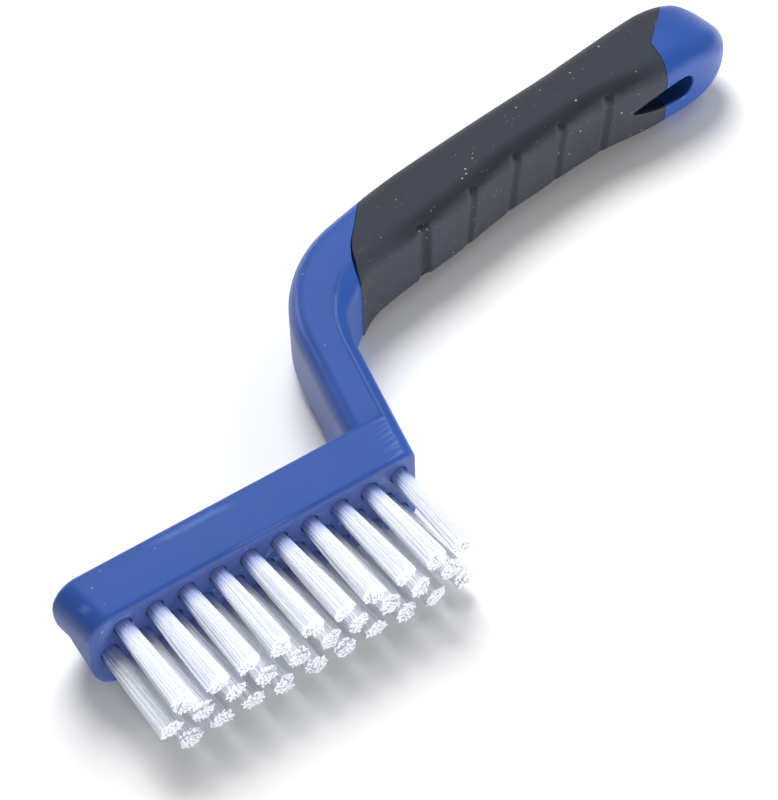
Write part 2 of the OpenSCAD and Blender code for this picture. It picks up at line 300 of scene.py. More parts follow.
def backHalf(s):
    grown = over(s, backRun, neck["width"] / 2, gripHalf)
    tail = over(s, tailBackRun, 0, handle["tailBack"] - gripHalf)
    return (grown + tail) * tipRound(s, handle["tipBack"], handle["tipBackPower"])


def growthAt(s):
    return over(s, growthRun, 0, neck["growth"])


def cornerGrowth(s):
    return np.maximum(0, growthAt(s) - over(s, flatRun, 0, neck["flatGrowth"]))


def fingerHalf(s):
    return neck["width"] / 2 + growthAt(s)


def sleeveHalf(s):
    drawnIn = over(s, waistRun, 0, handle["swell"] + handle["waist"])
    tail = over(s, tailFingerRun, 0, handle["waist"] + handle["tailSwell"])
    rounded = tipRound(s, handle["tipFinger"], handle["tipFingerPower"])
    return (gripHalf + handle["swell"] - drawnIn + tail) * rounded


def halfHeight(s):
    return half * tipRound(s, handle["tipHeight"], handle["tipHeightPower"])


def recessAt(s):
    return over(s, recessRun, neck["recess"], 0)


# The section, from the fingers over the top to the back and round underneath.
# Each stretch has a number of points, and the sizes after them shape its corners.
stretches = {"fingerWall": 4, "fingerCorner": 12, "rim": 3, "flat": 14, "backCorner": 12, "backWall": 4}
corner = {"least": 0.4, "fill": 0.96, "sideGrowth": 0.4, "rimWidth": 0.35, "rimStep": 0.02}


def sectionTable():
    kinds, parts = [], []
    for kind, count in enumerate(stretches.values()):
        kinds += [kind] * count
        parts += [i / count for i in range(count)]
    return np.array(kinds + [len(stretches) - 1]), np.array(parts + [1.0])


halfKinds, halfParts = sectionTable()
ringKinds = np.concatenate([halfKinds, halfKinds[-2:0:-1]])
ringParts = np.concatenate([halfParts, halfParts[-2:0:-1]])
ringSides = np.concatenate([np.ones(len(halfKinds)), -np.ones(len(halfKinds) - 2)])
ringCount = len(ringKinds)


def cornerRadius(edge, inset, wide, high):
    rounded = np.maximum(corner["least"], np.minimum(edge - inset, wide * corner["fill"]))
    return np.minimum(rounded, high * corner["fill"])


# Offsets, heights and the direction that the surface faces, for one ring round the handle
def section(s, inset, soft):
    s = np.asarray(s, float)
    finger = (sleeveHalf(s) if soft else fingerHalf(s)) - inset
    back = backHalf(s) - inset
    high = halfHeight(s) - inset
    low = high if soft else high - recessAt(s)
    toGrip = over(s, edgeRun, 0, 1)
    fingerEdge = over(s, frontRun, grip["frontRadius"], handle["edge"]) if soft else neck["fingerEdge"]
    backEdge = neck["backEdge"] + (handle["edge"] - neck["backEdge"]) * toGrip
    extra = 0 * s if soft else cornerGrowth(s)
    fingerRadius = cornerRadius(fingerEdge, inset, finger, high)
    backRadius = cornerRadius(backEdge, inset, back, low)
    wide = fingerRadius + extra
    tall = fingerRadius + corner["sideGrowth"] * extra
    rimStart = -finger + wide
    rimEnd = (rimStart + corner["rimWidth"] * (high - low) / neck["recess"]
              + corner["rimStep"] * tipRound(s, handle["tipFinger"], handle["tipFingerPower"]))
    level = 0 * ringParts
    fingerTurn = ringParts * math.pi / 2
    flatTurn = level + math.pi / 2
    backTurn = (1 - ringParts) * math.pi / 2
    stretch = [ringKinds == kind for kind in range(len(stretches) - 1)]
    u = np.select(stretch, [
        -finger + level,
        -finger + wide * (1 - np.cos(fingerTurn)),
        rimStart + (rimEnd - rimStart) * ringParts,
        rimEnd + (back - backRadius - rimEnd) * ringParts,
        back - backRadius * (1 - np.cos(backTurn)),
    ], back)
    z = np.select(stretch, [
        (high - tall) * ringParts,
        high - tall * (1 - np.sin(fingerTurn)),
        high - (high - low) * ease(ringParts),
        low + level,
        low - backRadius * (1 - np.sin(backTurn)),
    ], (low - backRadius) * (1 - ringParts))
    turn = np.select(stretch, [level, fingerTurn, flatTurn, flatTurn, math.pi - backTurn], math.pi)
    drop = handle["crown"] / half * toGrip * (u / np.maximum(finger, back)) ** 2
    return u, ringSides * z * (1 - drop), turn


# Edges of the soft grip, as distances along the middle line at offset u
def frontEdge(u):
    t = (u + gripHalf) / handle["gripWidth"]
    span = grip["frontOnFinger"] + grip["frontOnBack"]
    return bendEnd - grip["frontOnFinger"] + span * t + grip["frontBow"] * np.sin(math.pi * t)


def rearEdge(u):
    kinkAt = tip - grip["rearOnFinger"] + grip["rearRise"]
    near = kinkAt - grip["rearRise"] * (1 - (u + tailFinger) / (tailFinger - grip["kink"]))
    t = (u + grip["kink"]) / (handle["tailBack"] + grip["kink"])
    far = kinkAt + (tip - grip["rearOnBack"] - kinkAt) * t * (1 + grip["rearBow"] - grip["rearBow"] * t)
    return np.where(u < -grip["kink"], near, far)


# Meshes from rings of points
def ringFaces(rings, count, closeEnds):
    i, k = np.meshgrid(np.arange(rings - 1), np.arange(count), indexing="ij")
    a = i * count + k
    b = i * count + (k + 1) % count
    faces = np.stack([a, a + count, b + count, b], -1).reshape(-1, 4).tolist()
    if closeEnds:
        faces.append(list(range(count)))
        faces.append([(rings - 1) * count + k for k in range(count - 1, -1, -1)])
    return faces


def meshObject(name, points, faces, smooth=True):
    mesh = bpy.data.meshes.new(name)
    mesh.from_pydata([tuple(p) for p in points], [], faces)
    mesh.update()
    obj = bpy.data.objects.new(name, mesh)
    scene.collection.objects.link(obj)
    bm = bmesh.new()
    bm.from_mesh(mesh)
    bmesh.ops.recalc_face_normals(bm, faces=bm.faces)
    bm.to_mesh(mesh)
    bm.free()
    for polygon in mesh.polygons:
        polygon.use_smooth = smooth
    return obj


# Cuts or joins one mesh with another, which is used up
def combine(obj, other, operation):
    modifier = obj.modifiers.new("cut", "BOOLEAN")
    modifier.operation = operation
    modifier.solver = "EXACT"
    modifier.object = other
    depsgraph = bpy.context.evaluated_depsgraph_get()
    depsgraph.update()
    mesh = bpy.data.meshes.new_from_object(obj.evaluated_get(depsgraph))
    obj.modifiers.clear()
    old = obj.data
    obj.data = mesh
    bpy.data.meshes.remove(old)
    bpy.data.objects.remove(other)


def sharpByAngle(obj, degrees):
    bm = bmesh.new()
    bm.from_mesh(obj.data)
    limit = math.radians(degrees)
    for face in bm.faces:
        face.smooth = True
    for edge in bm.edges:
        if len(edge.link_faces) == 2:
            edge.smooth = edge.calc_face_angle(0) < limit
    bm.to_mesh(obj.data)
    bm.free()


# A number at every point of a mesh, for its material to read
def addShade(obj, name, values):
    attribute = obj.data.attributes.new(name, "FLOAT", "POINT")
    attribute.data.foreach_set("value", np.asarray(values).astype(np.float32).ravel())


# The moulding: head, neck, core and tail
def skinRing(s, inset, soft):
    u, z, turn = section(s, inset, soft)
    return place(s, u, z)


# Where the plane at a level behind the bristle face crosses the neck, at offset u
def neckAt(level, u):
    return level / math.sin(neckHeading) - u / math.tan(neckHeading)


def neckRings():
    faceEdge = head["faceEdge"]
    rings = []
    for angle in np.linspace(0, math.pi / 2, neck["faceRings"], endpoint=False):
        inset = faceEdge * (1 - math.sin(angle))
        level = faceEdge * (1 - math.cos(angle))
        rings.append(skinRing(neckAt(level, section(level, inset, False)[0]), inset, False))
    start = neckAt(faceEdge, section(faceEdge, 0, False)[0])
    end = frontEdge(section(bendEnd, 0, False)[0])
    return rings + [skinRing(start + (end - start) * t, 0, False) for t in np.linspace(0, 1, neck["rings"])]


def coreRings(count, inset, gap):
    start = frontEdge(section(bendEnd, inset, True)[0]) + gap
    end = rearEdge(section(tip - grip["rearOnFinger"], inset, True)[0]) - gap
    return [skinRing(start + (end - start) * t, inset, True) for t in np.linspace(0, 1, count)]


def tailRings():
    start = rearEdge(section(tip - grip["rearOnFinger"], 0, True)[0])
    sweep = np.radians(np.linspace(0, handle["tailSweep"], handle["tailRings"]))
    return [skinRing(start + (tip - start) * math.sin(a), 0, True) for a in sweep]


def handleMesh():
    rings = neckRings() + coreRings(handle["coreRings"], grip["wall"], 0) + tailRings()
    skin = meshObject("handleSkin", toRow(np.concatenate(rings)), ringFaces(len(rings), ringCount, True))
    # Painted highlight: a pale line along the rim of the neck's recess
    wearAndHighlight = np.zeros((len(rings), ringCount))
    rim = list(stretches).index("rim")
    wearAndHighlight[:neck["highlightRings"], (ringKinds == rim) & (ringSides > 0)] = 1
    addShade(skin, "paintedHighlightLine", wearAndHighlight)
    return skin


# How far a rounded edge draws in, at a distance from the flat that it meets
def roundInset(radius, away):
    rise = max(0, radius - away)
    return radius - math.sqrt(radius**2 - rise**2)


def headOutline(y):
    away = max(0, head["depth"] - y)
    faceInset = roundInset(head["faceEdge"], y)
    inset = max(faceInset, roundInset(head["backEdge"], away))
    left = inset + roundInset(head["backCorner"], away)
    left -= head["endFlare"] * min(1, y / (head["depth"] - head["backCorner"]))
    right = (head["length"] + y * math.tan(math.radians(neck["lean"]))
             - neck["fingerEdge"] / math.sin(neckHeading) + head["overlap"] - faceInset)
    high = half - inset
    r = head["endRadius"] - inset
    under = min(r + head["underGrowth"] * y, 2 * high - r - head["leastSide"])
    outline = []
    for t in np.linspace(0, 1, head["flatSteps"], endpoint=False):
        outline.append((right + (left + r - right) * t, y, high))
    for t in np.linspace(0, 1, head["cornerSteps"], endpoint=False):
        a = math.pi / 2 * (1 + t)
        outline.append((left + r + r * math.cos(a), y, high - r + r * math.sin(a)))
    for t in np.linspace(0, 1, head["sideSteps"], endpoint=False):
        outline.append((left, y, high - r + (under + r - 2 * high) * t))
    for t in np.linspace(0, 1, head["underSteps"], endpoint=False):
        a = math.pi * (1 + t / 2)
        outline.append((left + under + under * math.cos(a), y, -high + under + under * math.sin(a)))
    for t in np.linspace(0, 1, head["flatSteps"], endpoint=False):
        outline.append((left + under + (right - left - under) * t, y, -high))
    for t in np.linspace(0, 1, head["sideSteps"], endpoint=False):
        outline.append((right, y, -high + 2 * high * t))
    return outline


def headMesh():
    faceTurns = np.radians(range(0, 91, head["faceStep"]))
    backTurns = np.radians(range(0, 91, head["backStep"]))
    backRadius = max(head["backCorner"], head["backEdge"])
    levels = [head["faceEdge"] * (1 - math.cos(a)) for a in faceTurns] + head["levels"]
    levels += [head["depth"] - backRadius * (1 - math.sin(a)) for a in backTurns]
    rings = [headOutline(y) for y in levels]
    return meshObject("headSkin", toRow(np.concatenate(rings)), ringFaces(len(rings), len(rings[0]), True))


tuftPitch = (head["length"] - bristle["endMargin"] - bristle["neckMargin"]) / (bristle["perRow"] - 1)


def tuftPlace(row, index):
    x = bristle["endMargin"] + tuftPitch * (index - (row % 2) / 2)
    z = bristle["rowSpacing"] * ((bristle["rows"] - 1) / 2 - row)
    return x, z


def holeCutters():
    radius = bristle["holeDiameter"] / 2
    profile = [(depth, radius + wider) for depth, wider in bristle["mouth"]]
    profile.append((bristle["holeDepth"], radius))
    sides = bristle["holeSides"]
    points, faces = [], []
    for row in range(bristle["rows"]):
        for index in range(bristle["perRow"]):
            x, z = tuftPlace(row, index)
            start = len(points)
            for y, r in profile:
                for k in range(sides):
                    a = 2 * math.pi * k / sides
                    points.append((x + r * math.cos(a), y, z + r * math.sin(a)))
            faces += [[start + v for v in f] for f in ringFaces(len(profile), sides, True)]
    return meshObject("holeCutter", toRow(points), faces, False)


# The hanging slot: round towards the tip, with long curved sides to a point
slotAt = tip - slot["setback"] - slot["width"] / 2
slotHeading = float(headingAt(slotAt))


def slotOutline(grow):
    radius = slot["width"] / 2
    tipRadius = slot["tip"]
    far = slot["length"] - radius - tipRadius
    arc = (far**2 + (radius - tipRadius) ** 2) / (2 * (radius - tipRadius))
    side = math.asin(far / arc)
    outline = []
    for t in np.linspace(-math.pi / 2, math.pi / 2, slot["roundSteps"]):
        outline.append(((radius + grow) * math.cos(t), (radius + grow) * math.sin(t)))
    for t in np.linspace(0, side, slot["sideSteps"])[1:]:
        outline.append((-(arc + grow) * math.sin(t), radius - arc + (arc + grow) * math.cos(t)))
    for t in np.linspace(math.pi / 2 + side, 1.5 * math.pi - side, slot["tipSteps"])[1:-1]:
        outline.append((-far + (tipRadius + grow) * math.cos(t), (tipRadius + grow) * math.sin(t)))
    for t in np.linspace(side, 0, slot["sideSteps"])[:-1]:
        outline.append((-(arc + grow) * math.sin(t), arc - radius - (arc + grow) * math.cos(t)))
    return outline


def slotCutter(name):
    x, y = middleAt(slotAt)
    c, s = math.cos(slotHeading), math.sin(slotHeading)
    wall = float(sleeveHalf(slotAt))
    soft = slot["softEdge"]
    levels = [(-wall - slot["reach"], soft), (-wall, soft)]
    levels += [(-wall + depth, soft * share) for depth, share in slot["mouth"]]
    levels += [(-u, grow) for u, grow in levels[::-1]]
    rings = [[(x + d * c - u * s, y + d * s + u * c, z) for d, z in slotOutline(grow)] for u, grow in levels]
    return meshObject(name, toRow(np.concatenate(rings)), ringFaces(len(rings), len(rings[0]), True), False)


# How far inside the slot each point of a mesh is, from nought at its mouths to one. The materials darken by
# it as painted shade inside the slot.
def slotDepth(obj):
    points = np.empty(len(obj.data.vertices) * 3, np.float32)
    obj.data.vertices.foreach_get("co", points)
    away = points.reshape(-1, 3) / mm - (place(slotAt, 0, 0) + offset)
    along = away @ np.array([math.cos(slotHeading), math.sin(slotHeading), 0])
    across = np.abs(away @ np.array([-math.sin(slotHeading), math.cos(slotHeading), 0]))
    reach = slot["width"] / 2 + slot["margin"]
    inside = (np.abs(away[:, 2]) < reach) & (along < reach) & (along > -slot["length"])
    return inside * ease((sleeveHalf(slotAt + along) - slot["shadeRun"] - across) / slot["shadeRun"])


def buildBody():
    body = handleMesh()
    combine(body, headMesh(), "UNION")
    combine(body, holeCutters(), "DIFFERENCE")
    combine(body, slotCutter("slotCutter"), "DIFFERENCE")
    addShade(body, "slotShade", slotDepth(body))
    body.name = "mouldedBody"
    body.data.name = "mouldedBody"
    sharpByAngle(body, handle["sharpAngle"])
    return body


# The soft grip: pads between finger grooves, and a sunken band between them and the top.
# Each groove slopes gently on its front side and rises steeply to the next pad.
# Each groove also carries a painted stripe: painted shade on its steep side and painted light on its gentle
# side.
def grooveAt(s, z, turn, below, i):
    first = i == 0
    centre = bendEnd + groove["first"] + i * groove["pitch"]
    lean = 0 if first else math.tan(math.radians(groove["lean"]))
    along = s - centre - lean * z
    x = np.clip(along / (groove["firstWidth" if first else "width"] / 2), -1, 1)
    deepest = groove["deepest"]
    shape = np.where(x < deepest, ease((x + 1) / (1 + deepest)), ease((1 - x) / (1 - deepest)))
    paintedStripe = groove["paintedShadeShare"] * hump(x, groove["paintedShadeStripe"])
    paintedStripe = paintedStripe - groove["paintedLightShare"] * hump(x, groove["paintedLightStripe"])
    top = np.radians(groove["top"] - groove["topDip"] * x**2)
    reach = 1 - ease((turn - top) / math.radians(groove["topFade"]))
    if not first:
        shape = shape * np.where(below, 1 - groove["lowFade"] * ease(turn / groove["lowTurn"]), 1)
    return shape * reach, paintedStripe * reach, along


def gripSink(s, z, turn, below):
    sink, shade, pad = 0 * s, 0 * s, 0 * s
    for i in range(groove["count"]):
        shape, paintedStripe, along = grooveAt(s, z, turn, below, i)
        sink = sink + groove["firstDepth" if i == 0 else "depth"] * shape
        shade = shade + paintedStripe
        pad = np.where(along > 0, along / groove["pitch"], pad)
    # The sunken band carries painted shade as well as its depth.
    top = np.radians(band["top"] + band["topRise"] * np.clip(pad, 0, 1))
    low = np.radians((band["low"], band["low"] + band["lowFade"]))
    sunken = ease((turn - top) / math.radians(band["topFade"])) * over(turn, low, 1, 0) * hump(s, bandRun)
    return sink + band["depth"] * sunken, np.maximum(shade, band["shade"] * sunken + shade * (1 - sunken))


def buildGrip():
    front = section(bendEnd, 0, True)
    start = frontEdge(front[0]) + over(front[2], grip["gapTurn"], grip["fingerGap"], grip["edgeGap"])
    end = rearEdge(section(tip - grip["rearOnFinger"], 0, True)[0]) - grip["edgeGap"]
    span = end - start - grip["frontStep"] - grip["rearStep"]
    rings, shades = [], []
    # The rounded ends carry painted shade along their gaps to the moulding.
    for distance, inset in grip["frontRound"]:
        rings.append(skinRing(start + distance, inset, True))
        shades.append(grip["frontShade"] + 0 * start)
    for t in np.linspace(0, 1, grip["rings"]):
        s = start + grip["frontStep"] + span * t
        u, z, turn = section(s, 0, True)
        sink, shade = gripSink(s, z, turn, ringSides < 0)
        a = np.where(ringSides > 0, turn, -turn)
        rings.append(place(s, u + sink * np.cos(a), z - sink * np.sin(a)))
        shades.append(shade)
    for distance, inset in grip["rearRound"]:
        rings.append(skinRing(end - distance, inset, True))
        shades.append(grip["rearShade"] + 0 * start)
    inner = coreRings(grip["innerRings"], grip["wall"] - grip["bondGap"], grip["edgeGap"])
    rings += inner[::-1]
    shades += [0 * start] * len(inner)
    faces = ringFaces(len(rings), ringCount, False)
    last = (len(rings) - 1) * ringCount
    for k in range(ringCount):
        m = (k + 1) % ringCount
        faces.append([last + k, k, m, last + m])
    sleeve = meshObject("softGrip", toRow(np.concatenate(rings)), faces)
    # Painted shade and painted light for the grip's material
    addShade(sleeve, "grooveShade", np.concatenate(shades))
    combine(sleeve, slotCutter("slotCutterGrip"), "DIFFERENCE")
    addShade(sleeve, "slotShade", slotDepth(sleeve))
    sharpByAngle(sleeve, grip["sharpAngle"])
    return sleeve


# A tuft: strands that start deep in the hole, above the anchor at its bottom, and spread towards their cut
# ends
def diskPoints(count, radius):
    golden = math.pi * (3 - math.sqrt(5))
    points = []
    for i in range(count):
        r = radius * math.sqrt((i + 0.5) / count)
        points.append((r * math.cos(i * golden), r * math.sin(i * golden)))
    return points


def tubeAlong(path, radii, sides, points, faces, materials):
    start = len(points)
    path = np.array(path)
    tangents = np.gradient(path, axis=0)
    tangents /= np.linalg.norm(tangents, axis=1)[:, None]
    side = np.array([1.0, 0.0, 0.0])
    for i, (p, t) in enumerate(zip(path, tangents)):
        side = side - t * side.dot(t)
        side /= np.linalg.norm(side)
        other = np.cross(t, side)
        for k in range(sides):
            a = 2 * math.pi * k / sides
            points.append(p + radii[i] * (side * math.cos(a) + other * math.sin(a)))
    tube = ringFaces(len(path), sides, True)
    faces += [[start + v for v in f] for f in tube]
    materials += [0] * (len(tube) - 2) + [1, 1]


def buildTuft(row, index):
    random = np.random.default_rng(100 * row + index)
    centreX, centreZ = tuftPlace(row, index)
    rootRadius = bristle["holeDiameter"] / 2 - bristle["rootGap"] - bristle["strandDiameter"] / 2
    turn = random.uniform(0, 2 * math.pi)
    lean = bristle["lean"] * np.array([random.uniform(-1, 1), random.uniform(-1, 1)])
    swirl = random.uniform(-bristle["swirl"], bristle["swirl"])
    facet = random.uniform(0, 2 * math.pi)
    points, faces, materials = [], [], []
    for x0, z0 in diskPoints(bristle["strands"], rootRadius):
        wander = random.normal(0, bristle["wander"], 2)
        bow = random.normal(0, bristle["bow"], 2)
        side = x0 * math.cos(facet) + z0 * math.sin(facet)
        ledge = bristle["ledge"] if side > bristle["ledgeFrom"] else 0
        cut = -bristle["length"] + random.uniform(0, bristle["unevenCut"]) + ledge
        radius = bristle["strandDiameter"] / 2 * random.uniform(bristle["thinnest"], bristle["thickest"])
        path, radii = [], []
        for y in bristle["levels"] + [cut]:
            t = max(0, -y) / bristle["length"]
            opened = 1 + (bristle["spread"] - 1) * t ** bristle["spreadPower"]
            angle = turn + swirl * t
            x = (x0 * math.cos(angle) - z0 * math.sin(angle)) * opened
            z = (x0 * math.sin(angle) + z0 * math.cos(angle)) * opened
            shift = lean * t ** bristle["leanPower"] + wander * t + bow * math.sin(math.pi * t)
            drop = bristle["rootDrop"] * (1 - t)
            path.append((centreX + x + shift[0], y, centreZ + z - drop + shift[1]))
            radii.append(radius * (1 + (bristle["strandGrowth"] - 1) * t))
        tubeAlong(path, radii, bristle["strandSides"], points, faces, materials)
    tuft = meshObject(f"bristles_row{row + 1}_{index + 1:02d}", toRow(points), faces)
    tuft.data.polygons.foreach_set("material_index", materials)
    sharpByAngle(tuft, bristle["sharpAngle"])
    return tuft


print("building the moulded body")
body = buildBody()
print("building the soft grip")
sleeve = buildGrip()
print("building the tufts")
tufts = [[buildTuft(row, index) for index in range(bristle["perRow"])] for row in range(bristle["rows"])]


# Shader nodes: a value may be a number, a colour or the socket that feeds it
def connect(tree, value, socket):
    if isinstance(value, bpy.types.NodeSocket):
        tree.links.new(value, socket)
    else:
        socket.default_value = value


def objectPlace(tree):
    return tree.nodes.new("ShaderNodeTexCoord").outputs["Object"]


def meshPlace(tree):
    return tree.nodes.new("ShaderNodeNewGeometry").outputs["Position"]


def stretchedPlace(tree, rotation, scale):
    node = tree.nodes.new("ShaderNodeMapping")
    connect(tree, objectPlace(tree), node.inputs["Vector"])
    node.inputs["Rotation"].default_value = rotation
    node.inputs["Scale"].default_value = scale
    return node.outputs["Vector"]


def noise(tree, vector, scale, detail, roughness=0.5, output="Fac"):
    node = tree.nodes.new("ShaderNodeTexNoise")
    connect(tree, vector, node.inputs["Vector"])
    connect(tree, scale, node.inputs["Scale"])
    node.inputs["Detail"].default_value = detail
    node.inputs["Roughness"].default_value = roughness
    return node.outputs[output]


def ramp(tree, value, low, high, toLow=0.0, toHigh=1.0, kind="SMOOTHSTEP"):
    node = tree.nodes.new("ShaderNodeMapRange")
    node.interpolation_type = kind
    connect(tree, value, node.inputs["Value"])
    connect(tree, low, node.inputs["From Min"])
    connect(tree, high, node.inputs["From Max"])
    node.inputs["To Min"].default_value = toLow
    node.inputs["To Max"].default_value = toHigh
    return node.outputs["Result"]


def calculate(tree, operation, a, b):
    node = tree.nodes.new("ShaderNodeMath")
    node.operation = operation
    connect(tree, a, node.inputs[0])
    connect(tree, b, node.inputs[1])
    return node.outputs[0]


def mixColours(tree, a, b, factor, mode="MIX"):
    node = tree.nodes.new("ShaderNodeMix")
    node.data_type = "RGBA"
    node.blend_type = mode
    connect(tree, a, node.inputs["A"])
    connect(tree, b, node.inputs["B"])
    connect(tree, factor, node.inputs["Factor"])
    return node.outputs["Result"]


def meshValue(tree, name):
    node = tree.nodes.new("ShaderNodeAttribute")
    node.attribute_name = name
    return node.outputs["Fac"]


# A colour made darker by a share of a value that the mesh carries
def darkened(tree, colour, name, share):
    kept = calculate(tree, "MULTIPLY_ADD", meshValue(tree, name), -share)
    kept.node.inputs[2].default_value = 1.0
    node = tree.nodes.new("ShaderNodeVectorMath")
    node.operation = "SCALE"
    connect(tree, colour, node.inputs[0])
    connect(tree, kept, node.inputs["Scale"])
    return node.outputs[0]


def addBump(tree, height, shader, strength, distance):
    node = tree.nodes.new("ShaderNodeBump")
    node.inputs["Strength"].default_value = strength
    node.inputs["Distance"].default_value = distance
    connect(tree, height, node.inputs["Height"])
    connect(tree, node.outputs["Normal"], shader.inputs["Normal"])


# Shader node groups
def newGroup(name, inputs, outputs):
    group = bpy.data.node_groups.new(name, "ShaderNodeTree")
    for label, value in inputs.items():
        socket = group.interface.new_socket(label, in_out="INPUT", socket_type="NodeSocketFloat")
        socket.default_value = value
    for label in outputs:
        group.interface.new_socket(label, in_out="OUTPUT", socket_type="NodeSocketFloat")
    return group, group.nodes.new("NodeGroupInput").outputs, group.nodes.new("NodeGroupOutput").inputs


def placeGroup(tree, group, values):
    node = tree.nodes.new("ShaderNodeGroup")
    node.node_tree = group
    for label, value in values.items():
        connect(tree, value, node.inputs[label])
    return node.outputs


# Dust specks: small pale flecks of uneven outline, gathered in patches
specks = {
    "outline": {"scale": 2200.0, "detail": 2.0, "output": "Color"},
    "outlineShift": (0.0004, 0.0004, 0.0004),
    "edge": (0.16, 0.08),
    "patches": {"scale": 130.0, "detail": 1.0},
    "patchEdge": (0.45, 0.68),
    "fewest": 0.35,
    "most": 2.2,
}


def makeSpeckGroup():
    group, given, result = newGroup("dustSpecks", {"Scale": 900.0, "Amount": 0.1, "Spot": 0.0}, ["Mask"])
    where = objectPlace(group)
    moved = group.nodes.new("ShaderNodeVectorMath")
    moved.operation = "MULTIPLY_ADD"
    connect(group, noise(group, where, **specks["outline"]), moved.inputs[0])
    connect(group, specks["outlineShift"], moved.inputs[1])
    connect(group, where, moved.inputs[2])
    cells = group.nodes.new("ShaderNodeTexVoronoi")
    connect(group, moved.outputs[0], cells.inputs["Vector"])
    connect(group, given["Scale"], cells.inputs["Scale"])
    near = ramp(group, cells.outputs["Distance"], *specks["edge"])
    draw = group.nodes.new("ShaderNodeSeparateColor")
    connect(group, cells.outputs["Color"], draw.inputs[0])
    patches = noise(group, where, **specks["patches"])
    gathered = ramp(group, patches, *specks["patchEdge"], specks["fewest"], specks["most"])
    share = calculate(group, "MULTIPLY", gathered, given["Amount"])
    chosen = calculate(group, "LESS_THAN", draw.outputs[0], calculate(group, "ADD", share, given["Spot"]))
    connect(group, calculate(group, "MULTIPLY", near, chosen), result["Mask"])
    return group


# Fine grain of a moulded surface, with faint scratches that lie in patches
mouldGrain = {
    "fine": {"detail": 3.0, "roughness": 0.6},
    "clouds": {"scale": 45.0, "detail": 3.0, "roughness": 0.55},
    "cloudRange": (0.3, 0.7),
    "scratches": {"scale": 1.0, "detail": 1.0, "roughness": 0.4},
    "scratchTurn": (0.2, 0.1, 0.7),
    "scratchStretch": (60.0, 900.0, 900.0),
    "scratchEdge": (0.70, 0.76),
    "patches": {"scale": 70.0, "detail": 1.0},
    "patchEdge": (0.55, 0.68),
}


def makeGrainGroup():
    group, given, result = newGroup(
        "mouldGrain", {"Grain Scale": 1500.0, "Scratch": 0.3}, ["Height", "Scratches", "Clouds"])
    where = objectPlace(group)
    grain = noise(group, where, given["Grain Scale"], **mouldGrain["fine"])
    lines = stretchedPlace(group, mouldGrain["scratchTurn"], mouldGrain["scratchStretch"])
    streaks = noise(group, lines, **mouldGrain["scratches"])
    thin = ramp(group, streaks, *mouldGrain["scratchEdge"])
    patches = ramp(group, noise(group, where, **mouldGrain["patches"]), *mouldGrain["patchEdge"])
    scratches = calculate(group, "MULTIPLY", calculate(group, "MULTIPLY", thin, patches), given["Scratch"])
    connect(group, calculate(group, "SUBTRACT", grain, scratches), result["Height"])
    connect(group, scratches, result["Scratches"])
    connect(group, noise(group, where, **mouldGrain["clouds"]), result["Clouds"])
    return group


# Wear along edges, from the curvature of the mesh, broken up by noise
edgeWear = {"breaks": {"scale": 260.0, "detail": 3.0, "roughness": 0.6}, "breakEdge": (0.35, 0.65)}


def makeEdgeGroup():
    group, given, result = newGroup("edgeWear", {"Low": 0.52, "High": 0.6}, ["Mask"])
    pointed = group.nodes.new("ShaderNodeNewGeometry").outputs["Pointiness"]
    reach = ramp(group, pointed, given["Low"], given["High"])
    breaks = noise(group, objectPlace(group), **edgeWear["breaks"])
    broken = ramp(group, breaks, *edgeWear["breakEdge"])
    connect(group, calculate(group, "MULTIPLY", reach, broken), result["Mask"])
    return group


print("making the shader groups")
speckGroup = makeSpeckGroup()
grainGroup = makeGrainGroup()
edgeGroup = makeEdgeGroup()


# Materials
def newMaterial(name):
    material = bpy.data.materials.new(name)
    material.use_nodes = True
    return material, material.node_tree, material.node_tree.nodes["Principled BSDF"]


def finishMoulding(tree, shader, colour, grain, look):
    connect(tree, colour, shader.inputs["Base Color"])
    shader.inputs["Specular IOR Level"].default_value = look["specular"]
    limits = (*mouldGrain["cloudRange"], look["smoothest"], look["roughest"])
    rough = ramp(tree, grain["Clouds"], *limits, kind="LINEAR")
    connect(tree, rough, shader.inputs["Roughness"])
    addBump(tree, grain["Height"], shader, look["bump"], look["bumpDepth"])


bluePlastic = {
    "deep": (0.015, 0.064, 0.29, 1),
    "light": (0.032, 0.092, 0.36, 1),
    # pale colour for worn edges and for the painted highlight on the recess rim
    "wearAndHighlight": (0.13, 0.22, 0.52, 1),
    "wearAndHighlightShare": 0.45,
    # painted sheen: the bristle face is painted a duller, greyer blue
    "face": (0.052, 0.085, 0.26, 1),
    "faceDepth": (0.5, 0.1),  # millimetres behind the bristle face, where its painted sheen ends
    "dust": (0.75, 0.78, 0.85, 1),
    "dustShare": 0.35,
    "burrs": 0.4,  # more specks on the bristle face, for the burrs beside its holes
    "slotShade": 0.6,
    "grain": {"Grain Scale": 1300.0, "Scratch": 0.5},
    "wear": {"Low": 0.54, "High": 0.64},
    "specks": {"Scale": 620.0, "Amount": 0.04},
    "smoothest": 0.33,
    "roughest": 0.45,
    "specular": 0.5,
    "bump": 0.08,
    "bumpDepth": 0.0002,
}


# One on the flat face that the tufts stand in, nought elsewhere
def faceMask(tree):
    split = tree.nodes.new("ShaderNodeSeparateXYZ")
    connect(tree, meshPlace(tree), split.inputs[0])
    deepest, shallowest = [float(toRow([0, depth, 0])[1]) for depth in bluePlastic["faceDepth"]]
    return ramp(tree, split.outputs["Y"], deepest, shallowest)


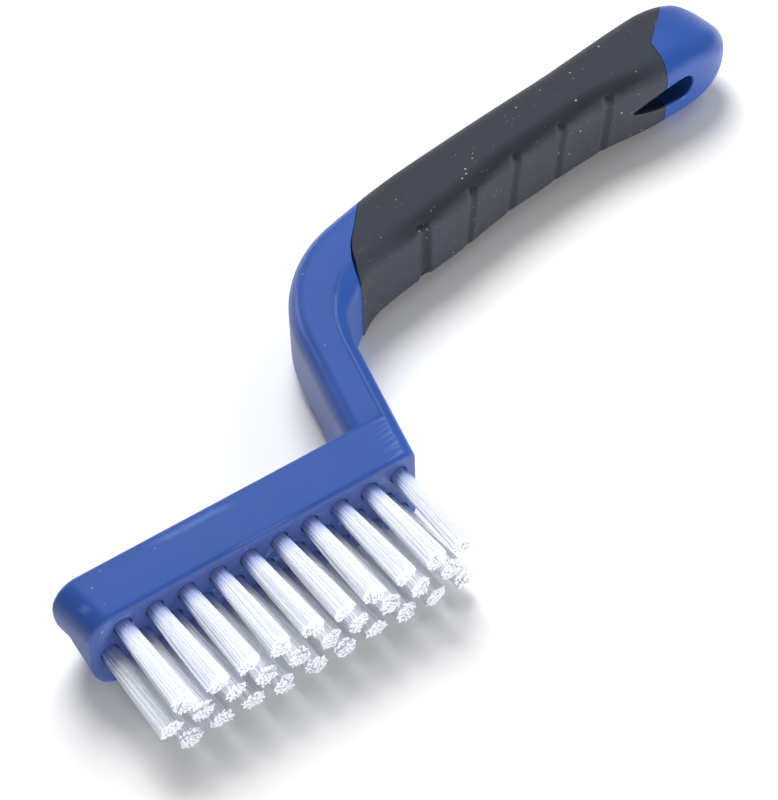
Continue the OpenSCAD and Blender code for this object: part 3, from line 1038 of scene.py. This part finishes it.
def makeBluePlastic():
    material, tree, shader = newMaterial("bluePlastic")
    grain = placeGroup(tree, grainGroup, bluePlastic["grain"])
    edges = placeGroup(tree, edgeGroup, bluePlastic["wear"])
    face = faceMask(tree)
    burrs = calculate(tree, "MULTIPLY", face, bluePlastic["burrs"])
    flecks = placeGroup(tree, speckGroup, bluePlastic["specks"] | {"Spot": burrs})
    # The pale colour goes on worn edges and, along the neck's recess rim, as a painted highlight.
    wearAndHighlight = calculate(tree, "MAXIMUM", edges["Mask"], meshValue(tree, "paintedHighlightLine"))
    wear = calculate(tree, "MULTIPLY", wearAndHighlight, bluePlastic["wearAndHighlightShare"])
    dust = calculate(tree, "MULTIPLY", flecks["Mask"], bluePlastic["dustShare"])
    colour = mixColours(tree, bluePlastic["deep"], bluePlastic["light"], grain["Clouds"])
    # Painted sheen on the bristle face
    colour = mixColours(tree, colour, bluePlastic["face"], face)
    colour = mixColours(tree, colour, bluePlastic["wearAndHighlight"], wear)
    colour = mixColours(tree, colour, bluePlastic["dust"], dust)
    # Painted shade inside the hanging slot
    colour = darkened(tree, colour, "slotShade", bluePlastic["slotShade"])
    finishMoulding(tree, shader, colour, grain, bluePlastic)
    return material


softGrip = {
    "dark": (0.033, 0.038, 0.050, 1),
    "light": (0.043, 0.049, 0.064, 1),
    # on the grip this pale colour marks only wear and scratches
    "wearAndHighlight": (0.12, 0.13, 0.16, 1),
    "scratchShare": 0.5,
    "dust": (0.75, 0.76, 0.82, 1),
    "dustShare": 0.7,
    "fineShare": 0.45,
    "dustPatches": [  # place in millimetres from the head's free end, radius, and share of specks
        ((134.9, 61.8, 9.7), 6, 0.6),
        ((112.5, 54.8, 9.0), 6, 0.5),
    ],
    "patchFade": 0.4,
    # share by which the painted shade and light on the mesh change the colour
    "grooveShade": 0.46,
    "slotShade": 0.7,
    "grain": {"Grain Scale": 2600.0, "Scratch": 0.7},
    "wear": {"Low": 0.53, "High": 0.62},
    "specks": {"Scale": 640.0, "Amount": 0.07},
    "fineSpecks": {"Scale": 1250.0, "Amount": 0.14},
    "smoothest": 0.49,
    "roughest": 0.63,
    "specular": 0.4,
    "bump": 0.25,
    "bumpDepth": 0.0002,
}


def dustPatch(tree, centre, radius, share):
    away = tree.nodes.new("ShaderNodeVectorMath")
    away.operation = "DISTANCE"
    connect(tree, meshPlace(tree), away.inputs[0])
    away.inputs[1].default_value = toRow(centre)
    return ramp(tree, away.outputs["Value"], radius * mm, radius * mm * softGrip["patchFade"], 0.0, share)


def makeSoftGrip():
    material, tree, shader = newMaterial("softGripRubber")
    grain = placeGroup(tree, grainGroup, softGrip["grain"])
    edges = placeGroup(tree, edgeGroup, softGrip["wear"])
    spots = [dustPatch(tree, *patch) for patch in softGrip["dustPatches"]]
    flecks = placeGroup(tree, speckGroup, softGrip["specks"] | {"Spot": calculate(tree, "ADD", *spots)})
    fine = placeGroup(tree, speckGroup, softGrip["fineSpecks"])
    scratched = calculate(tree, "MULTIPLY", grain["Scratches"], softGrip["scratchShare"])
    wear = calculate(tree, "MAXIMUM", edges["Mask"], scratched)
    coarseDust = calculate(tree, "MULTIPLY", flecks["Mask"], softGrip["dustShare"])
    fineDust = calculate(tree, "MULTIPLY", fine["Mask"], softGrip["fineShare"])
    colour = mixColours(tree, softGrip["dark"], softGrip["light"], grain["Clouds"])
    # Painted shade in the grooves, the band and along the grip's ends, and painted light on the grooves'
    # gentle sides
    colour = darkened(tree, colour, "grooveShade", softGrip["grooveShade"])
    colour = mixColours(tree, colour, softGrip["wearAndHighlight"], wear)
    colour = mixColours(tree, colour, softGrip["dust"], calculate(tree, "MAXIMUM", coarseDust, fineDust))
    # Painted shade inside the hanging slot
    colour = darkened(tree, colour, "slotShade", softGrip["slotShade"])
    finishMoulding(tree, shader, colour, grain, softGrip)
    return material


nylon = {
    # painted shade and blue reflected light near the holes
    "root": (0.42, 0.53, 0.86, 1),
    "shaft": (0.88, 0.895, 0.93, 1),
    "cut": (0.86, 0.87, 0.90, 1),
    "rootRun": (1.0, -5.5),  # millimetres behind the bristle face, where the root's painted shade and blue reflected light fade
    "streak": (0.90, 0.91, 0.95, 1),
    "streaks": {"scale": 1.0, "detail": 2.0},
    "streakStretch": (2200.0, 60.0, 2200.0),
    "streakEdge": (0.35, 0.75),
    "streakShare": 0.5,
    "through": 0.42,  # share of the light that shines through a strand
    "passed": 0.85,  # share of the light that a strand's shadow lets past
    "roughness": 0.38,
    "bump": 0.2,
    "bumpDepth": 0.0001,
}


def makeNylon(name, end):
    material, tree, shader = newMaterial(name)
    split = tree.nodes.new("ShaderNodeSeparateXYZ")
    connect(tree, objectPlace(tree), split.inputs[0])
    near, far = [float(toRow([0, depth, 0])[1]) for depth in nylon["rootRun"]]
    # Painted shade and blue reflected light at the strands' roots, fading towards the shaft
    colour = mixColours(tree, nylon["root"], nylon[end], ramp(tree, split.outputs["Y"], near, far))
    fibre = noise(tree, stretchedPlace(tree, (0, 0, 0), nylon["streakStretch"]), **nylon["streaks"])
    streaks = calculate(tree, "MULTIPLY", ramp(tree, fibre, *nylon["streakEdge"]), nylon["streakShare"])
    colour = mixColours(tree, colour, nylon["streak"], streaks, "MULTIPLY")
    connect(tree, colour, shader.inputs["Base Color"])
    shader.inputs["Roughness"].default_value = nylon["roughness"]
    addBump(tree, fibre, shader, nylon["bump"], nylon["bumpDepth"])
    through = tree.nodes.new("ShaderNodeBsdfTranslucent")
    connect(tree, colour, through.inputs["Color"])
    strand = tree.nodes.new("ShaderNodeMixShader")
    strand.inputs["Fac"].default_value = nylon["through"]
    tree.links.new(shader.outputs[0], strand.inputs[1])
    tree.links.new(through.outputs[0], strand.inputs[2])
    shadowRay = tree.nodes.new("ShaderNodeLightPath").outputs["Is Shadow Ray"]
    clearer = tree.nodes.new("ShaderNodeMixShader")
    connect(tree, calculate(tree, "MULTIPLY", shadowRay, nylon["passed"]), clearer.inputs["Fac"])
    tree.links.new(strand.outputs[0], clearer.inputs[1])
    tree.links.new(tree.nodes.new("ShaderNodeBsdfTransparent").outputs[0], clearer.inputs[2])
    tree.links.new(clearer.outputs[0], tree.nodes["Material Output"].inputs["Surface"])
    return material


anchorWire = {
    "bright": (0.82, 0.68, 0.38, 1),
    "dull": (0.55, 0.43, 0.22, 1),
    "grain": {"Grain Scale": 3000.0, "Scratch": 1.0},
    "roughness": 0.35,
    "bump": 0.2,
    "bumpDepth": 0.0001,
}


def makeAnchorWire():
    material, tree, shader = newMaterial("anchorWire")
    grain = placeGroup(tree, grainGroup, anchorWire["grain"])
    colour = mixColours(tree, anchorWire["dull"], anchorWire["bright"], grain["Clouds"])
    connect(tree, colour, shader.inputs["Base Color"])
    shader.inputs["Metallic"].default_value = 1.0
    shader.inputs["Roughness"].default_value = anchorWire["roughness"]
    addBump(tree, grain["Height"], shader, anchorWire["bump"], anchorWire["bumpDepth"])
    return material


def paintNode(node, material):
    if not node.material_slots:
        node.data.materials.append(material)
    for entry in node.material_slots:
        entry.link = "OBJECT"
        entry.material = material


print("painting the pieces")
body.data.materials.clear()
body.data.materials.append(makeBluePlastic())
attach(body, "root")
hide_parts("handle_body")

sleeve.data.materials.clear()
sleeve.data.materials.append(makeSoftGrip())
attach(sleeve, "root")
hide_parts("grip_sleeve")

shaftMaterial = makeNylon("bristleNylon", "shaft")
cutMaterial = makeNylon("bristleCutEnd", "cut")
for row, line in enumerate(tufts):
    for index, tuft in enumerate(line):
        tuft.data.materials.append(shaftMaterial)
        tuft.data.materials.append(cutMaterial)
        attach(tuft, "root")
        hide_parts(f"tuft_row{row + 1}_{index + 1:02d}")

anchorMaterial = makeAnchorWire()
for row in range(bristle["rows"]):
    paintNode(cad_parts[f"anchors_row{row + 1}"], anchorMaterial)

# Floor, light and camera, in metres
studio = {
    "floorSize": 3.0,
    "floorColour": (0.95, 0.95, 0.95, 1),
    "floorRoughness": 0.9,
    "floorSpecular": 0.1,
    "sky": 0.15,
    "mirrorSky": 0.15,
    "mirrorSide": (0.41, 0.62, 0.67),
    "mirrorEdge": (0.55, 0.95),
}
lamps = {
    "keySoftbox": {"position": (0.27, 0.77, 0.94), "size": 0.8, "power": 19.0, "mirrored": False},
    "sideSoftbox": {"position": (0.9, 0.25, 0.7), "size": 0.5, "power": 2.2, "mirrored": False},
    "fillSoftbox": {"position": (-0.05, -1.0, 0.14), "size": 0.45, "power": 11.5, "mirrored": False},
    "edgeLight": {"position": (-0.3, 0.95, 0.35), "size": 0.25, "power": 1.2, "mirrored": True},
}


def makeFloor():
    mesh = bpy.data.meshes.new("floor")
    r = studio["floorSize"] / 2
    mesh.from_pydata([(-r, -r, 0), (r, -r, 0), (r, r, 0), (-r, r, 0)], [], [(0, 1, 2, 3)])
    floor = bpy.data.objects.new("floor", mesh)
    scene.collection.objects.link(floor)
    material, tree, shader = newMaterial("paleFloor")
    shader.inputs["Base Color"].default_value = studio["floorColour"]
    shader.inputs["Roughness"].default_value = studio["floorRoughness"]
    shader.inputs["Specular IOR Level"].default_value = studio["floorSpecular"]
    mesh.materials.append(material)


# A white background for the camera, and a dimmer sky for the light that falls on the brush.
# The side of the sky that the flat tops mirror has a level of its own.
def makeWorld():
    world = bpy.data.worlds.new("studio")
    scene.world = world
    world.use_nodes = True
    tree = world.node_tree
    facing = tree.nodes.new("ShaderNodeVectorMath")
    facing.operation = "DOT_PRODUCT"
    connect(tree, tree.nodes.new("ShaderNodeTexCoord").outputs["Generated"], facing.inputs[0])
    facing.inputs[1].default_value = Vector(studio["mirrorSide"]).normalized()
    level = ramp(tree, facing.outputs["Value"], *studio["mirrorEdge"], studio["sky"], studio["mirrorSky"])
    strength = tree.nodes.new("ShaderNodeMix")
    strength.data_type = "FLOAT"
    connect(tree, tree.nodes.new("ShaderNodeLightPath").outputs["Is Camera Ray"], strength.inputs["Factor"])
    connect(tree, level, strength.inputs["A"])
    strength.inputs["B"].default_value = 1.0
    background = tree.nodes["Background"]
    background.inputs["Color"].default_value = (1, 1, 1, 1)
    connect(tree, strength.outputs["Result"], background.inputs["Strength"])


def addLamp(name, position, size, power, mirrored):
    light = bpy.data.lights.new(name, "AREA")
    light.shape = "DISK"
    light.size = size
    light.energy = power
    lamp = bpy.data.objects.new(name, light)
    scene.collection.objects.link(lamp)
    lamp.location = position
    lamp.visible_glossy = mirrored
    lamp.rotation_mode = "QUATERNION"
    lamp.rotation_quaternion = (-Vector(position)).to_track_quat("-Z", "Y")


# The photograph's viewpoint: degrees, millimetres from the free end of the head, and pixels
viewpoint = {
    "azimuth": 33.65,
    "elevation": 46.76,
    "roll": -2.22,
    "distance": 507.92,
    "target": (83.22, 21.83, 0.0),
    "focalPixels": 2483.7,
    "longSidePixels": 800,
    "sensor": 36.0,
    "clipStart": 0.01,
    "clipEnd": 20,
}


def makeCamera():
    azimuth = math.radians(viewpoint["azimuth"])
    elevation = math.radians(viewpoint["elevation"])
    roll = math.radians(viewpoint["roll"])
    forward = Vector((math.sin(azimuth) * math.cos(elevation), math.cos(azimuth) * math.cos(elevation),
                      -math.sin(elevation)))
    right = Vector((math.cos(azimuth), -math.sin(azimuth), 0))
    up = right.cross(forward)
    rolledRight = right * math.cos(roll) + up * math.sin(roll)
    rolledUp = up * math.cos(roll) - right * math.sin(roll)
    data = bpy.data.cameras.new("photoCamera")
    data.sensor_fit = "AUTO"
    data.sensor_width = viewpoint["sensor"]
    data.lens = viewpoint["focalPixels"] * viewpoint["sensor"] / viewpoint["longSidePixels"]
    data.clip_start = viewpoint["clipStart"]
    data.clip_end = viewpoint["clipEnd"]
    camera = bpy.data.objects.new("photoCamera", data)
    scene.collection.objects.link(camera)
    camera.rotation_mode = "QUATERNION"
    axes = Matrix((rolledRight, rolledUp, -forward)).transposed()
    camera.rotation_quaternion = axes.to_quaternion()
    camera.location = Vector(toRow(viewpoint["target"])) - forward * viewpoint["distance"] * mm
    scene.camera = camera


print("setting the stage")
makeFloor()
makeWorld()
for name, lamp in lamps.items():
    addLamp(name, **lamp)
makeCamera()
scene.view_settings.view_transform = "Standard"
